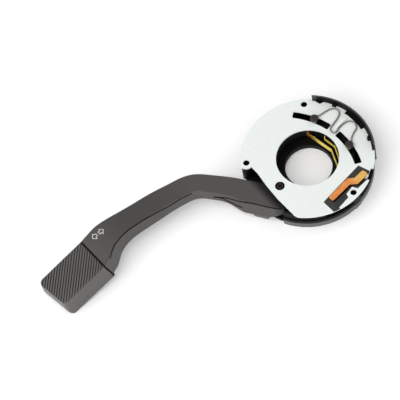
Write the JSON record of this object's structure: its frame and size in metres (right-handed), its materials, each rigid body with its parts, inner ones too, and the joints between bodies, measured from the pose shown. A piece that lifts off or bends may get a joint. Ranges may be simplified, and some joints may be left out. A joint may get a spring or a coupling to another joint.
{
  "type": "combination stalk switch",
  "caption": "Round steering-column switch with a cranked turn-signal lever, ribbed end knob, W-shaped centring spring over arc slots, horn contact strip and open column bore.",
  "frame": {"origin": "centre of the column bore at the underside of the housing", "axes": "+Z along the steering column towards the driver; -X from the column to the lever's pivot"},
  "size_m": [0.2165, 0.1139, 0.0206],
  "materials": {
    "black_plastic": "matt black moulding",
    "white_plastic": "smooth off-white moulding",
    "grey_insulator": "dark grey insulating moulding",
    "copper_strip": "bare copper alloy, slightly worn",
    "brass_strip": "bright bare brass",
    "dark_steel": "blackened steel",
    "spring_steel": "drawn spring wire",
    "sintered_bush": "oiled sintered metal",
    "carrier_plastic": "matt dark moulding",
    "cam_plastic": "natural low-friction moulding",
    "stalk_plastic": "fine-textured charcoal moulding",
    "knob_plastic": "fine-textured warm charcoal moulding",
    "core_steel": "plain pressed steel",
    "blade_metal": "tinned brass"
  },
  "bodies": {
    "housing": {"housing_shell": "black_plastic", "connector_socket": "black_plastic", "terminal_blades": "blade_metal", "cover_plate": "white_plastic", "insulator_block": "grey_insulator", "horn_contact_strip": "copper_strip", "pivot_screw": "dark_steel", "brass_bar_lower": "brass_strip", "brass_bar_upper": "brass_strip", "detent_cam": "cam_plastic", "fixed_contacts": "brass_strip"},
    "carrier": {"lever_carrier": "carrier_plastic", "pivot_bush": "sintered_bush", "spring_post_upper": "dark_steel", "spring_post_lower": "dark_steel", "w_spring": "spring_steel", "detent_spring": "spring_steel", "contact_wiper": "brass_strip", "flash_cross_pin": "core_steel", "flash_torsion_spring": "spring_steel"},
    "stalk": {"lever_core": "core_steel", "stalk_upper_shell": "stalk_plastic", "stalk_lower_shell": "stalk_plastic", "knob": "knob_plastic"},
    "plunger": {"detent_plunger": "dark_steel"},
    "pawl_upper": {"cancel_pawl_upper": "cam_plastic"},
    "pawl_lower": {"cancel_pawl_lower": "cam_plastic"}
  },
  "joints": [
    {"name": "turn", "type": "hinge", "parent": "housing", "child": "carrier", "pos_m": [-0.026, 0, 0.0075], "axis": [0, 0, 1], "range_deg": [-10, 10], "deforming": ["w_spring"]},
    {"name": "flash", "type": "hinge", "parent": "carrier", "child": "stalk", "pos_m": [-0.03674, 0.00643, 0.0075], "axis": [0.8788, 0.4772, 0], "range_deg": [0, 5], "stiffness_Nm_per_rad": 1.5, "springref_deg": -8.59, "deforming": ["flash_torsion_spring"]},
    {"name": "plunge", "type": "slide", "parent": "carrier", "child": "plunger", "axis": [1, 0, 0], "range_m": [-0.0012, 0], "stiffness_N_per_m": 800, "springref_m": 0.002, "deforming": ["detent_spring"]},
    {"name": "swing_upper", "type": "hinge", "parent": "carrier", "child": "pawl_upper", "pos_m": [0.02307, 0.01463, 0.0058], "axis": [0, 0, 1], "range_deg": [-15, 15], "stiffness_Nm_per_rad": 0.01},
    {"name": "swing_lower", "type": "hinge", "parent": "carrier", "child": "pawl_lower", "pos_m": [0.02307, -0.01463, 0.0058], "axis": [0, 0, 1], "range_deg": [-15, 15], "stiffness_Nm_per_rad": 0.01}
  ]
}
